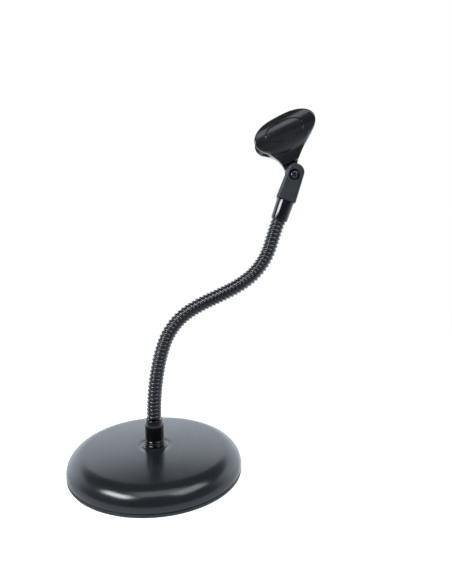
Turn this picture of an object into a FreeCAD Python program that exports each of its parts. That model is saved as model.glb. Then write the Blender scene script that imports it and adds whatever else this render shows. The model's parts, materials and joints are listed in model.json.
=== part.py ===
import FreeCAD, Part
import math
import os

# Desktop microphone stand: weighted round base, flexible gooseneck and a screw-on microphone clip.
# Millimetres, +Z up. The origin is the middle of the base where it meets the table. The neck bends in
# the XZ plane and leans to +X.

V = FreeCAD.Vector
X_AXIS, Y_AXIS, Z_AXIS = V(1, 0, 0), V(0, 1, 0), V(0, 0, 1)

# --- base -------------------------------------------------------------------------------------------
BASE_R = 85.0              # outer radius of the cover and of the rubber ring
COVER_T = 1.5              # sheet thickness of the pressed cover
SKIRT_Z = 3.7              # lower edge of the cover's skirt
SHOULDER_Z = 5.8           # height where the shoulder starts to curve in
SHOULDER_W = 18.5          # radial half-axis of the shoulder's ellipse
SHOULDER_H = 16.6          # vertical half-axis of the shoulder's ellipse
SHOULDER_END = 85.1        # degrees of ellipse before the shoulder runs smoothly into the crown
PAD_R, PAD_Z = 12.5, 25.2  # embossed pad that carries the neck
FOOT_Z = 2.9               # height of the rubber ring's visible flange
PLATE_Z, PLATE_T = 2.6, 1.0
PLATE_R = 81.2
WEIGHT_R, WEIGHT_TOP = 75.0, 17.0
BOSS_R, BOSS_Z = 16.0, 23.2
FOOT_BORE_R = 75.0         # inner edge of the rubber ring
LIP_TOP = 6.6              # top of the rubber lip inside the cover's skirt
SCREW_CIRCLE_R, SCREW_COUNT = 45.0, 3
SCREW_SHANK_R, SCREW_TAP_R, SCREW_CLEAR_R = 2.0, 2.06, 2.3
SCREW_END, SCREW_TAP_END = 12.0, 13.0
SCREW_HEAD_R, SCREW_HEAD_H = 4.0, 1.5
CROSS_LENGTH, CROSS_WIDTH, CROSS_DEPTH = 4.4, 0.9, 0.7

# --- anchor hardware: M10 bolt from below ---------------------------------------------------------
BOLT_R = 4.95
BOLT_FIT = 0.05            # clearance of the tapped hole round the plainly drawn thread
BOLT_HOLE_R = 5.3
BOLT_HEAD_Z, BOLT_HEAD_H = 4.0, 6.4
BOLT_HEAD_FLATS = 17.0
BOLT_END_Z = 39.0
LOCK_WASHER_T, WASHER_T = 2.2, 2.0
LOCK_WASHER_R, WASHER_R = 9.0, 10.5
RECESS_R = 13.0            # hollow in the weight for the bolt's head and washers

# --- lower ferrule and its ring -------------------------------------------------------------------
RING_R, RING_TOP = 9.5, 29.2
BEAD_R, BEAD_H = 9.3, 1.5  # bead at the foot of the ferrule
FERRULE_R = 9.05           # above the bead
FERRULE_TOP_R = 8.1        # at the end of the curved taper
FERRULE_TAPER = 6.5        # height of the taper
SPIGOT_R = 7.0
NECK_Z = 52.0              # top of the lower ferrule, where the flexible part starts

# --- gooseneck ------------------------------------------------------------------------------------
NECK_R = 7.15              # outer radius of the wound wires
NECK_BORE_R = 3.0          # the winding is hollow
BALL_R = 5.9               # ball end of a segment
SOCKET_R = 5.98            # socket end, with running clearance round the ball
SEGMENT = 10.26            # distance between neighbouring joint centres
SKIRT = 1.0                # how far a socket's rim reaches below the joint centre
SHOULDER = 3.9             # how far a segment's shoulder stays below its ball centre
BALL_CUT = 3.5             # the ball is cut flat this far above its centre
RIDGE_PITCH, RIDGE_DEPTH = 3.8, 0.6
RIDGE_EDGE = 0.35          # how far the wires are rounded off at the ends of a segment
CRIMP = 9.0                # depth of the bore that holds the neck inside each ferrule
PLUG = 8.8                 # length of the neck's plain end in that bore
CRIMP_FIT = 0.02           # clearance round the crimped neck
# Resting bend at every second joint, in degrees, positive towards +X. Between these joints the neck is
# straight, and the joints there bend it sideways.
BENDS = (2.9, 4.9, 4.6, 8.3, 19.1, 19.9, 7.4, -1.3, -11.1, -19.5, -18.0, 2.2)

# --- upper ferrule --------------------------------------------------------------------------------
TOP_FERRULE_LOW_R, TOP_FERRULE_HIGH_R = 8.0, 8.45
TOP_FERRULE_L = 19.0
THREAD_R, THREAD_L = 7.9, 10.5   # 5/8 in - 27 male thread, drawn plain at its crests
THREAD_BORE_R = 3.2              # hole through the threaded end

# --- clip swivel: fork with its pivot at the local origin --------------------------------------------
PIVOT_H = 43.8             # pivot above the lower end of the upper ferrule
CLIP_YAW = -17.0           # turn of the fork about the ferrule's axis
FORK_BOTTOM = -24.6
FORK_WIDE = 9.8            # half-width at the bottom
FORK_HALF = 9.5            # half-depth
FORK_TOP_R = 8.6           # radius of the round top
FORK_TOP_Z = 1.9           # centre of the round top above the pivot
FORK_CORNER = 4.0
SLOT_HALF = 3.6
SLOT_R = 11.0
SOCKET_TOP = -13.9
FEMALE_THREAD_R = 7.96
SCREW_R, SCREW_HOLE_R = 2.0, 2.08
HEAD_R, HEAD_H = 3.5, 2.8
KEY_FLATS, KEY_DEPTH = 3.0, 2.0   # hexagon socket in the head
HEAD_RECESS_R, HEAD_RECESS = 5.4, 3.4
NUT_FLATS, NUT_T = 7.0, 3.2
NUT_POCKET = 3.6
NUT_FIT = 0.12             # clearance across the flats of the nut's pocket
FRICTION_R, FRICTION_T = 6.5, 0.56
FRICTION_FIT = 0.04        # running clearance beside the clip's tongue

# --- microphone clip: jaw axis along local X, pivot below and behind the jaw's centre -----------------
CLIP_LEAN = 44.3           # angle from the fork's axis to the jaw's axis
PIVOT_U, PIVOT_V = -8.6, -39.9
JAW_R, JAW_BORE_R = 17.0, 13.8
JAW_OUTLINE_A, JAW_OUTLINE_B = 30.0, 17.0
JAW_OUTLINE_U, JAW_OUTLINE_V = 0.3, -0.5
JAW_GAP_HALF = 7.0
TONGUE_HALF = 2.96
TONGUE_R = 8.4
PAD_A, PAD_B = 18.4, 9.0
PAD_TURN = -5.0
GROOVE_W, GROOVE_DEPTH = 0.8, 0.6


def turned(points):
    """Solid of revolution about Z from a closed outline of (radius, height) points."""
    wire = Part.makePolygon([V(r, 0, z) for r, z in points] + [V(points[0][0], 0, points[0][1])])
    return Part.Face(wire).revolve(V(0, 0, 0), Z_AXIS, 360)


def disc(radius, low, high):
    return Part.makeCylinder(radius, high - low, V(0, 0, low))


def washer(outer, inner, low, high):
    return disc(outer, low, high).cut(disc(inner, low - 1, high + 1))


def hexagon(flats, low, high):
    corner = flats / math.sqrt(3)
    points = [V(corner * math.cos(math.radians(a)), corner * math.sin(math.radians(a)), low)
              for a in range(0, 361, 60)]
    return Part.Face(Part.makePolygon(points)).extrude(V(0, 0, high - low))


def sphere(radius, height):
    return Part.makeSphere(radius, V(0, 0, height))


def along_y(shape):
    """Turns a shape drawn about +Z so that its axis points along +Y."""
    turned_shape = shape.copy()
    turned_shape.rotate(V(0, 0, 0), X_AXIS, -90)
    return turned_shape


def slab(points, half):
    """Closed outline of (x, z) points extruded from y = -half to y = half."""
    closed = list(points) + [points[0]]
    wire = Part.makePolygon([V(x, -half, z) for x, z in closed])
    return Part.Face(wire).extrude(V(0, 2 * half, 0))


def ellipse_slab(centre, major, minor, turn, low, high):
    """Ellipse in the XZ plane, its long axis turned by degrees from +X to +Z, between two y values."""
    curve = Part.Ellipse(V(0, 0, 0), major, minor)
    solid = Part.Face(Part.Wire(curve.toShape())).extrude(V(0, 0, high - low))
    solid.rotate(V(0, 0, 0), Z_AXIS, turn)
    solid.rotate(V(0, 0, 0), X_AXIS, 90)
    solid.translate(V(centre[0], high, centre[1]))
    return solid


# --- base -------------------------------------------------------------------------------------------
def dome_outline(inset):
    """Half outline of the dome, inset from the painted surface, from the skirt edge to the axis."""
    a, b = SHOULDER_W - inset, SHOULDER_H - inset
    centre_r = BASE_R - SHOULDER_W
    end = math.radians(SHOULDER_END)
    middle = end / 2

    def on_shoulder(angle):
        return V(centre_r + a * math.cos(angle), 0, SHOULDER_Z + b * math.sin(angle))

    start, half_way, stop = on_shoulder(0), on_shoulder(middle), on_shoulder(end)
    quarter = Part.Ellipse(V(centre_r + a, 0, SHOULDER_Z), V(centre_r, 0, SHOULDER_Z + b),
                           V(centre_r, 0, SHOULDER_Z))
    shoulder = Part.Arc(quarter, quarter.parameter(start), quarter.parameter(stop))
    if (shoulder.value((shoulder.FirstParameter + shoulder.LastParameter) / 2) - half_way).Length > 1:
        raise ValueError("the shoulder runs the wrong way round its ellipse")
    slope = b / a / math.tan(end)
    crown_r = stop.x / math.sin(math.atan(slope))
    crown_z = stop.z - math.sqrt(crown_r ** 2 - stop.x ** 2)
    half_angle = math.atan(slope) / 2
    crown_mid = V(crown_r * math.sin(half_angle), 0, crown_z + crown_r * math.cos(half_angle))
    crown_top = V(0, 0, crown_z + crown_r)
    skirt = V(centre_r + a, 0, SKIRT_Z)
    return [Part.LineSegment(skirt, start), shoulder, Part.Arc(stop, crown_mid, crown_top)]


def base_cover():
    outer, inner = dome_outline(0), dome_outline(COVER_T)
    top_outer = outer[-1].value(outer[-1].LastParameter)
    top_inner = inner[-1].value(inner[-1].LastParameter)
    edges = [c.toShape() for c in outer + inner]
    edges.append(Part.makeLine(top_outer, top_inner))
    edges.append(Part.makeLine(V(BASE_R, 0, SKIRT_Z), V(BASE_R - COVER_T, 0, SKIRT_Z)))
    wire = Part.Wire(Part.__sortEdges__(edges))
    shell = Part.Face(wire).revolve(V(0, 0, 0), Z_AXIS, 360)
    pad_foot = PAD_Z - 1.0
    pad = turned([(0, pad_foot), (PAD_R + 1.2, pad_foot), (PAD_R, PAD_Z), (0, PAD_Z)])
    return shell.fuse(pad).cut(disc(BOLT_HOLE_R, 0, PAD_Z + 1)).removeSplitter()


def screw_places():
    for i in range(SCREW_COUNT):
        angle = math.radians(90 + i * 360 / SCREW_COUNT)
        yield V(SCREW_CIRCLE_R * math.cos(angle), SCREW_CIRCLE_R * math.sin(angle), 0)


def base_weight():
    bottom = PLATE_Z + PLATE_T
    body = turned([(0, bottom), (WEIGHT_R - 1, bottom), (WEIGHT_R, bottom + 1), (WEIGHT_R, 12.0),
                   (WEIGHT_R - 7, WEIGHT_TOP), (BOSS_R + 5, WEIGHT_TOP), (BOSS_R, BOSS_Z), (0, BOSS_Z)])
    ceiling = BOLT_HEAD_Z + BOLT_HEAD_H + LOCK_WASHER_T + WASHER_T
    body = body.cut(disc(RECESS_R, bottom - 1, ceiling)).cut(disc(BOLT_HOLE_R, 0, BOSS_Z + 1))
    for place in screw_places():
        body = body.cut(Part.makeCylinder(SCREW_TAP_R, SCREW_TAP_END, place))
    return body


def bottom_plate():
    plate = disc(PLATE_R, PLATE_Z, PLATE_Z + PLATE_T)
    for place in screw_places():
        plate = plate.cut(Part.makeCylinder(SCREW_CLEAR_R, 2 * BASE_R, place))
    return plate


def plate_screws():
    """M4 pan-head screws with cross slots."""
    low, edge = PLATE_Z - SCREW_HEAD_H, SCREW_HEAD_H / 2
    screws = []
    for place in screw_places():
        screw = turned([(0, low), (SCREW_HEAD_R - edge, low), (SCREW_HEAD_R, low + edge),
                        (SCREW_HEAD_R, PLATE_Z), (SCREW_SHANK_R, PLATE_Z), (SCREW_SHANK_R, SCREW_END),
                        (0, SCREW_END)])
        for length, width in ((CROSS_LENGTH, CROSS_WIDTH), (CROSS_WIDTH, CROSS_LENGTH)):
            corner = V(-length / 2, -width / 2, low - CROSS_DEPTH)
            screw = screw.cut(Part.makeBox(length, width, 2 * CROSS_DEPTH, corner))
        screw.translate(place)
        screws.append(screw)
    return Part.makeCompound(screws)


def rubber_foot_ring():
    """Rubber ring: the flange stands on the table and the lip grips inside the cover's skirt."""
    lip_out, lip_in, edge = BASE_R - COVER_T - 0.1, PLATE_R + 0.15, 0.5
    return turned([(FOOT_BORE_R, edge), (FOOT_BORE_R + edge, 0), (BASE_R - edge, 0), (BASE_R, edge),
                   (BASE_R, FOOT_Z - edge), (BASE_R - edge, FOOT_Z), (lip_out, FOOT_Z),
                   (lip_out, LIP_TOP), (lip_in, LIP_TOP), (lip_in, PLATE_Z), (FOOT_BORE_R, PLATE_Z)])


# --- anchor hardware ----------------------------------------------------------------------------------
def anchor_bolt():
    head_top = BOLT_HEAD_Z + BOLT_HEAD_H
    chamfer = disc(BOLT_HEAD_FLATS / 2 + 1.1, BOLT_HEAD_Z, head_top)
    return hexagon(BOLT_HEAD_FLATS, BOLT_HEAD_Z, head_top).common(chamfer).fuse(
        disc(BOLT_R, head_top, BOLT_END_Z)).removeSplitter()


def anchor_lock_washer():
    """Spring washer: a flat ring with one slanting split."""
    low = BOLT_HEAD_Z + BOLT_HEAD_H
    split_w, slant = 1.0, 25
    ring = washer(LOCK_WASHER_R, BOLT_R + 0.15, low, low + LOCK_WASHER_T)
    split = Part.makeBox(LOCK_WASHER_R + 1, split_w, 2 * LOCK_WASHER_T,
                         V(0, -split_w / 2, low - LOCK_WASHER_T / 2))
    split.rotate(V(0, 0, low + LOCK_WASHER_T / 2), X_AXIS, slant)
    return ring.cut(split)


def anchor_washer():
    low = BOLT_HEAD_Z + BOLT_HEAD_H + LOCK_WASHER_T
    return washer(WASHER_R, BOLT_R + 0.2, low, low + WASHER_T)


# --- lower ferrule --------------------------------------------------------------------------------------
def neck_lock_ring():
    low, high, edge = PAD_Z, RING_TOP - 0.05, 0.5
    bore_r = SPIGOT_R + 0.06
    return turned([(bore_r, low), (RING_R - edge, low), (RING_R, low + edge), (RING_R, high - edge),
                   (RING_R - edge, high), (bore_r, high)])


def lower_ferrule():
    """Sleeve with a bead at its foot, a curved taper, a tapped hole below and the neck above."""
    bead_top, crimp_z, edge = RING_TOP + BEAD_H, NECK_Z - CRIMP, 0.4
    mouth_r, tapped_r = NECK_R + CRIMP_FIT, BOLT_R + BOLT_FIT
    taper_z, drop = NECK_Z - edge - FERRULE_TAPER, FERRULE_R - FERRULE_TOP_R
    outer = [(SPIGOT_R, PAD_Z), (SPIGOT_R, RING_TOP), (BEAD_R - edge, RING_TOP),
             (BEAD_R, RING_TOP + edge), (BEAD_R, bead_top), (FERRULE_R, bead_top + edge)]
    outer += [(FERRULE_R - drop * share ** 2, taper_z + FERRULE_TAPER * share)
              for share in (0, 0.25, 0.5, 0.75, 1)]
    outer.append((FERRULE_TOP_R - edge, NECK_Z))
    inner = [(mouth_r, NECK_Z), (mouth_r, crimp_z), (tapped_r, crimp_z), (tapped_r, PAD_Z)]
    return turned(outer + inner)


# --- gooseneck ------------------------------------------------------------------------------------------
def ridges(low, high):
    """Outline of the wound wires from low to high: rounded crests with V-shaped grooves between."""
    count = max(1, round((high - low) / RIDGE_PITCH))
    pitch = (high - low) / count
    points = []
    for i in range(count):
        foot = low + i * pitch
        points += [(NECK_R - RIDGE_EDGE, foot), (NECK_R, foot + 0.22 * pitch),
                   (NECK_R, foot + 0.62 * pitch)]
        if i < count - 1:
            points.append((NECK_R - RIDGE_DEPTH, foot + 0.86 * pitch))
    points.append((NECK_R - RIDGE_EDGE, high))
    return points


def segment(length, socket=True, ball=True, plug=0.0):
    """One stretch of neck with its lower joint centre at 0 and its upper one at length.

    A segment without a socket is the neck's lower end and one without a ball is its upper end. Each of
    those has a plain plug that is crimped into a ferrule.
    """
    low = -SKIRT if socket else 0.0
    high = length - SHOULDER if ball else length
    body = turned([(0, low)] + ridges(low, high) + [(0, high)])
    if not socket:
        body = body.fuse(disc(NECK_R, low - plug, low))
    if not ball:
        body = body.fuse(disc(NECK_R, high, high + plug))
    if ball:
        tip = sphere(BALL_R, length).common(disc(NECK_R, length - SHOULDER - 0.1, length + BALL_CUT))
        body = body.fuse(tip)
    if socket:
        body = body.cut(sphere(SOCKET_R, 0))
    return body.cut(disc(NECK_BORE_R, -2 * CRIMP, length + 2 * CRIMP)).removeSplitter()


def neck_path():
    """The neck's joint centres from below upwards, each with the heading of the neck above it."""
    heading = 0.0
    point = V(0, 0, NECK_Z + SEGMENT / 2)
    places = []
    for bend in BENDS:
        heading += bend
        way = V(math.sin(math.radians(heading)), 0, math.cos(math.radians(heading)))
        places.append((point, heading))
        places.append((point + way * SEGMENT, heading))
        point = point + way * (2 * SEGMENT)
    return places


def placed(shape, point, heading):
    """Leans a shape drawn about +Z by its heading and carries its origin to the point."""
    moved = shape.copy()
    moved.rotate(V(0, 0, 0), Y_AXIS, heading)
    moved.translate(point)
    return moved


def gooseneck():
    """All stretches of the neck, named from below upwards."""
    places = neck_path()
    half = SEGMENT / 2
    lowest = segment(half, socket=False, plug=PLUG)
    middle = segment(SEGMENT)
    highest = segment(half, ball=False, plug=PLUG)
    shapes = [placed(lowest, V(0, 0, NECK_Z), 0)]
    shapes += [placed(middle, point, heading) for point, heading in places[:-1]]
    shapes.append(placed(highest, places[-1][0], places[-1][1]))
    return {"gooseneck_segment_%02d" % (i + 1): shape for i, shape in enumerate(shapes)}


def neck_end():
    """Middle of the lower end of the upper ferrule, and the heading there."""
    point, heading = neck_path()[-1]
    way = V(math.sin(math.radians(heading)), 0, math.cos(math.radians(heading)))
    return point + way * (SEGMENT / 2), heading


def upper_ferrule():
    """Sleeve crimped over the neck, with the microphone thread turned on its upper end."""
    low_r, high_r, end, edge = TOP_FERRULE_LOW_R, TOP_FERRULE_HIGH_R, TOP_FERRULE_L, 0.4
    thread_end, mouth_r = end + THREAD_L, NECK_R + CRIMP_FIT
    sleeve = turned([(mouth_r, 0), (low_r - edge, 0), (low_r, edge), (high_r, end - edge),
                     (high_r - edge, end), (THREAD_R - edge, end), (THREAD_R, end + edge),
                     (THREAD_R, thread_end - 2 * edge), (THREAD_R - 2 * edge, thread_end),
                     (THREAD_BORE_R, thread_end), (THREAD_BORE_R, CRIMP), (mouth_r, CRIMP)])
    return placed(sleeve, *neck_end())


# --- clip swivel ------------------------------------------------------------------------------------------
def at_pivot(shape):
    """Carries a shape drawn in the fork's frame (pivot at the origin, pin along Y) to its place."""
    moved = shape.copy()
    moved.rotate(V(0, 0, 0), Z_AXIS, CLIP_YAW)
    moved.translate(V(0, 0, PIVOT_H))
    return placed(moved, *neck_end())


def rounded_column(half_x, half_y, corner, low, high):
    """Upright block with rounded vertical corners."""
    column = Part.makeBox(2 * half_x, 2 * half_y, high - low, V(-half_x, -half_y, low))
    upright = [e for e in column.Edges if abs(e.tangentAt(e.FirstParameter).z) > 0.9]
    return column.makeFillet(corner, upright)


def clip_swivel():
    """Tapering fork with a round top, screwed onto the thread, with a slot for the clip's tongue."""
    side = slab([(-FORK_WIDE, FORK_BOTTOM), (FORK_WIDE, FORK_BOTTOM), (FORK_TOP_R, FORK_TOP_Z),
                 (-FORK_TOP_R, FORK_TOP_Z)], FORK_HALF)
    top = Part.makeCylinder(FORK_TOP_R, 2 * FORK_HALF, V(0, -FORK_HALF, FORK_TOP_Z), Y_AXIS)
    body = side.fuse(top).removeSplitter()
    body = body.common(rounded_column(FORK_WIDE, FORK_HALF, FORK_CORNER, FORK_BOTTOM, 2 * FORK_TOP_R))
    slot = Part.makeCylinder(SLOT_R, 2 * SLOT_HALF, V(0, -SLOT_HALF, 0), Y_AXIS)
    bore = disc(FEMALE_THREAD_R, FORK_BOTTOM - 1, SOCKET_TOP)
    pin_hole = Part.makeCylinder(SCREW_HOLE_R, 4 * FORK_HALF, V(0, -2 * FORK_HALF, 0), Y_AXIS)
    recess = Part.makeCylinder(HEAD_RECESS_R, HEAD_RECESS + 1, V(0, -FORK_HALF - 1, 0), Y_AXIS)
    pocket = along_y(hexagon(NUT_FLATS + NUT_FIT, FORK_HALF - NUT_POCKET, FORK_HALF + 1))
    for tool in (slot, bore, pin_hole, recess, pocket):
        body = body.cut(tool)
    return at_pivot(body)


def pivot_screw():
    """M4 socket-head screw, its head towards -Y."""
    under_head = -FORK_HALF + HEAD_RECESS
    end = FORK_HALF - NUT_POCKET + NUT_T - 0.3
    head_top = under_head - HEAD_H
    head = disc(HEAD_R, head_top, under_head).cut(
        hexagon(KEY_FLATS, head_top - 1, head_top + KEY_DEPTH))
    return at_pivot(along_y(head.fuse(disc(SCREW_R, under_head, end)).removeSplitter()))


def pivot_nut():
    low = FORK_HALF - NUT_POCKET
    nut = hexagon(NUT_FLATS, low, low + NUT_T).cut(disc(SCREW_R + 0.06, low - 1, low + NUT_T + 1))
    return at_pivot(along_y(nut))


def friction_washers():
    """One washer on each side of the clip's tongue."""
    low = TONGUE_HALF + FRICTION_FIT
    near = washer(FRICTION_R, SCREW_HOLE_R, -low - FRICTION_T, -low)
    far = washer(FRICTION_R, SCREW_HOLE_R, low, low + FRICTION_T)
    return at_pivot(Part.makeCompound([along_y(near), along_y(far)]))


# --- microphone clip --------------------------------------------------------------------------------------
def clip_neck():
    """Web between the jaw and the pivot: a side outline, thinned towards the pivot."""
    eye_left, eye_right = PIVOT_U - TONGUE_R + 0.1, PIVOT_U + TONGUE_R - 0.1
    side = slab([(16.0, -12.0), (16.0, -16.0), (9.1, -21.4), (4.0, -25.9), (-1.1, -30.5),
                 (eye_right, -35.0), (eye_right, PIVOT_V), (eye_left, PIVOT_V), (eye_left + 0.5, -36.0),
                 (-14.5, -31.0), (-15.0, -26.0), (-16.2, -21.0), (-20.0, -15.0), (-20.6, -12.0)], JAW_R)
    front = [(-12.0, -11.0), (-6.0, -23.0), (-4.6, -28.0), (-TONGUE_HALF, -28.0), (-TONGUE_HALF, -50.0)]
    outline = front + [(-y, v) for y, v in reversed(front)]
    wire = Part.makePolygon([V(-JAW_OUTLINE_A, y, v) for y, v in outline + [outline[0]]])
    return side.common(Part.Face(wire).extrude(V(2 * JAW_OUTLINE_A, 0, 0)))


def pad_groove():
    """Oval groove round the finger pad on each side of the jaw."""
    outer = ellipse_slab((0, 0), PAD_A, PAD_B, PAD_TURN, -2 * JAW_R, 2 * JAW_R)
    inner = ellipse_slab((0, 0), PAD_A - GROOVE_W, PAD_B - GROOVE_W, PAD_TURN, -2 * JAW_R, 2 * JAW_R)
    length = 4 * JAW_OUTLINE_A
    skin = Part.makeCylinder(JAW_R + 1, length, V(-length / 2, 0, 0), X_AXIS).cut(
        Part.makeCylinder(JAW_R - GROOVE_DEPTH, length, V(-length / 2, 0, 0), X_AXIS))
    return outer.cut(inner).common(skin)


def mic_clip():
    length = 4 * JAW_OUTLINE_A
    tube = Part.makeCylinder(JAW_R, length, V(-length / 2, 0, 0), X_AXIS)
    outline = ellipse_slab((JAW_OUTLINE_U, JAW_OUTLINE_V), JAW_OUTLINE_A, JAW_OUTLINE_B, 0,
                           -JAW_R - 1, JAW_R + 1)
    eye = Part.makeCylinder(TONGUE_R, 2 * TONGUE_HALF, V(PIVOT_U, -TONGUE_HALF, PIVOT_V), Y_AXIS)
    body = tube.common(outline).fuse(clip_neck()).fuse(eye)
    bore = Part.makeCylinder(JAW_BORE_R, length, V(-length / 2, 0, 0), X_AXIS)
    gap = Part.makeBox(length, 2 * JAW_GAP_HALF, JAW_R + 1, V(-length / 2, -JAW_GAP_HALF, 0))
    pin_hole = Part.makeCylinder(SCREW_HOLE_R, 2 * JAW_R, V(PIVOT_U, -JAW_R, PIVOT_V), Y_AXIS)
    for tool in (bore, gap, pin_hole, pad_groove()):
        body = body.cut(tool)
    body = body.removeSplitter()
    body.translate(V(-PIVOT_U, 0, -PIVOT_V))
    body.rotate(V(0, 0, 0), Y_AXIS, CLIP_LEAN - 90)
    return at_pivot(body)


def main():
    os.makedirs("parts", exist_ok=True)
    nodes = {
        "base_cover": base_cover(),
        "base_weight": base_weight(),
        "bottom_plate": bottom_plate(),
        "plate_screws": plate_screws(),
        "rubber_foot_ring": rubber_foot_ring(),
        "anchor_bolt": anchor_bolt(),
        "anchor_lock_washer": anchor_lock_washer(),
        "anchor_washer": anchor_washer(),
        "neck_lock_ring": neck_lock_ring(),
        "lower_ferrule": lower_ferrule(),
        "upper_ferrule": upper_ferrule(),
        "clip_swivel": clip_swivel(),
        "pivot_screw": pivot_screw(),
        "pivot_nut": pivot_nut(),
        "friction_washers": friction_washers(),
        "mic_clip": mic_clip(),
    }
    nodes.update(gooseneck())
    for name, shape in nodes.items():
        if not shape.isValid():
            raise ValueError(name + " is not a valid shape")
        shape.exportStep("parts/" + name + ".step")
        print(name, len(shape.Solids), "solid(s)", round(shape.Volume), "mm3")


main()
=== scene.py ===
"""Looks of the desktop microphone stand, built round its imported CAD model.

Lengths are metres in the frame's own axes. Outlines are written in millimetres and scaled by MM.
"""
import bpy
import json
import math
import numpy as np
from mathutils import Matrix, Vector

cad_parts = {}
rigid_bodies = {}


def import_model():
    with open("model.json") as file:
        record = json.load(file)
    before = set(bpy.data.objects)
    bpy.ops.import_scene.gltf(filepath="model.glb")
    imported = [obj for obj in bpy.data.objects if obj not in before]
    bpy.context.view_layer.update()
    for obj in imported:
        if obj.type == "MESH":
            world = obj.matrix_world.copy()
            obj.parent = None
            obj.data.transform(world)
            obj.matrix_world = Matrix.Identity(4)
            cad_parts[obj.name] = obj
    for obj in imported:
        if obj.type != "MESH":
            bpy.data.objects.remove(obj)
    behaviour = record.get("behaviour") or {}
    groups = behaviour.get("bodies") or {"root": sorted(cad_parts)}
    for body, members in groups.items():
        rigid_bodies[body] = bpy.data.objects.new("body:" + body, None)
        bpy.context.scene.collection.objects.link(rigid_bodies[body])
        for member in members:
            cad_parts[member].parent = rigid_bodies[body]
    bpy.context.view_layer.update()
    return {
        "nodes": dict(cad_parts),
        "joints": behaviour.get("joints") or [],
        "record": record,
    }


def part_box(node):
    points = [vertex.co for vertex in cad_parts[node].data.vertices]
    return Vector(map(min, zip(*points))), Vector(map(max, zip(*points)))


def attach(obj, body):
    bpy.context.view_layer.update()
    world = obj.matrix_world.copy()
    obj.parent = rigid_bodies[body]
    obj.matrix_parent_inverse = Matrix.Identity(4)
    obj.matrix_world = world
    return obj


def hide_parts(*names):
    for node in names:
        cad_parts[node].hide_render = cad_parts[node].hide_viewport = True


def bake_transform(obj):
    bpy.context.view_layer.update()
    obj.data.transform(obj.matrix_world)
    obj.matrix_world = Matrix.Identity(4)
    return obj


MM = 0.001

# --- camera: heading turns from +Y towards +X, pitch is below the horizon -----------------------
CAMERA_PLACE = (-0.0353, -0.5046, 0.2733)
CAMERA_HEADING, CAMERA_PITCH, CAMERA_ROLL = 12.0, 10.84, 0.16
CAMERA_LENS = 33.75

# --- base cover and rubber foot, millimetres ----------------------------------------------------
SHEET = 1.5
SHOULDER_START = 5.8
SHOULDER_WIDTH, SHOULDER_HEIGHT = 18.5, 16.6
SHOULDER_END = 85.1  # degrees round the shoulder's ellipse, where the crown takes over
SHOULDER_STEPS, CROWN_STEPS = 28, 12
PAD_R, PAD_RISE, PAD_FOOT = 12.5, 0.9, 1.6
BOLT_HOLE_R = 5.3
FOOT_OPENING_R, FOOT_LIP_R, FOOT_GAP = 75.0, 81.35, 0.8
BASE_SIDES = 320

# --- gooseneck, millimetres ---------------------------------------------------------------------
NECK_R, NECK_BORE_R = 7.15, 3.0
CRIMP = 8.8
WIRE_PITCH = 3.8
ROUND_WIRE_R, ROUND_WIRE_AT = 1.4, 0.38
FILLER_WIRE_R, FILLER_WIRE_AT, FILLER_DROP = 0.6, 0.88, 1.0
GROOVE_FLOOR = 1.5
WAIST_AT, WAIST_HALF, WAIST_DEPTH = 0.6, 0.8, 1.2
ROW_STEP, SMOOTHED_ROWS, ARC_STEPS = 0.19, 15, 24
AROUND = 72
# Links listed apart from the others; gooseneck() bakes their transforms in place just as it does
# the rest's.
BENT_FROM_ABOVE = (3, 21)

# --- lock ring and sleeves, millimetres; the upper sleeve from its lower end --------------------
RING_BORE_R = 7.06
RING_GROOVE_AT, RING_GROOVE_HALF, RING_GROOVE_DEPTH = 1.9, 0.4, 0.35
RING_GAP, BEAD_HEIGHT = 0.15, 1.5
SPIGOT_R, ANCHOR_BOLT_R = 7.0, 5.0
LOWER_SLEEVE_R, LOWER_SLEEVE_TOP_R = 9.05, 8.1
TAPER_HEIGHT, TAPER_LIP, TAPER_STEPS = 6.5, 0.4, 9
CRIMP_FIT, CRIMP_GAP = 0.02, 0.2
UPPER_SLEEVE_LOW_R, UPPER_SLEEVE_HIGH_R, UPPER_SLEEVE_END = 8.0, 8.45, 19.0
THREAD_R, THREAD_END, THREAD_HOLLOW_R = 7.9, 29.5, 3.2
SLEEVE_SIDES = 128

# --- swivel and pivot screw, millimetres from the clip's pivot ----------------------------------
FORK_BOTTOM, FORK_WIDE, FORK_HALF, FORK_CORNER = -24.6, 9.8, 9.5, 4.0
FORK_TOP_R, FORK_TOP_Z = 8.6, 1.9
SLOT_HALF, SLOT_R = 3.6, 11.0
BORE_R, BORE_TOP = 7.96, -13.9
PIN_HOLE_R, RECESS_R, RECESS_DEPTH = 2.08, 5.4, 3.4
POCKET_HALF, POCKET_DEPTH = 3.56, 3.6
SWIVEL_CELL = 0.36
SCREW_HEAD_R, SCREW_HEAD_HEIGHT, SCREW_SHANK_R = 3.4, 2.8, 2.0
SCREW_IN_POCKET = 2.9
SOCKET_HALF, SOCKET_FLOOR = 1.75, 0.6
SCREW_CELL = 0.16

# --- microphone clip, millimetres from the middle of its jaw ------------------------------------
JAW_R, JAW_HALF_LENGTH, JAW_HALF_HEIGHT = 17.0, 30.0, 17.0
JAW_AHEAD, JAW_BELOW = 0.3, 0.5
JAW_GAP_HALF = 7.0
PAD_LONG, PAD_SHORT, PAD_TURN = 18.2, 8.8, -5.0
PAD_BULGE, GROOVE_HALF, GROOVE_DEPTH = 0.8, 0.55, 0.6
TONGUE_R, TONGUE_HALF = 8.4, 2.96
CLIP_CELL = 0.32

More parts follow.
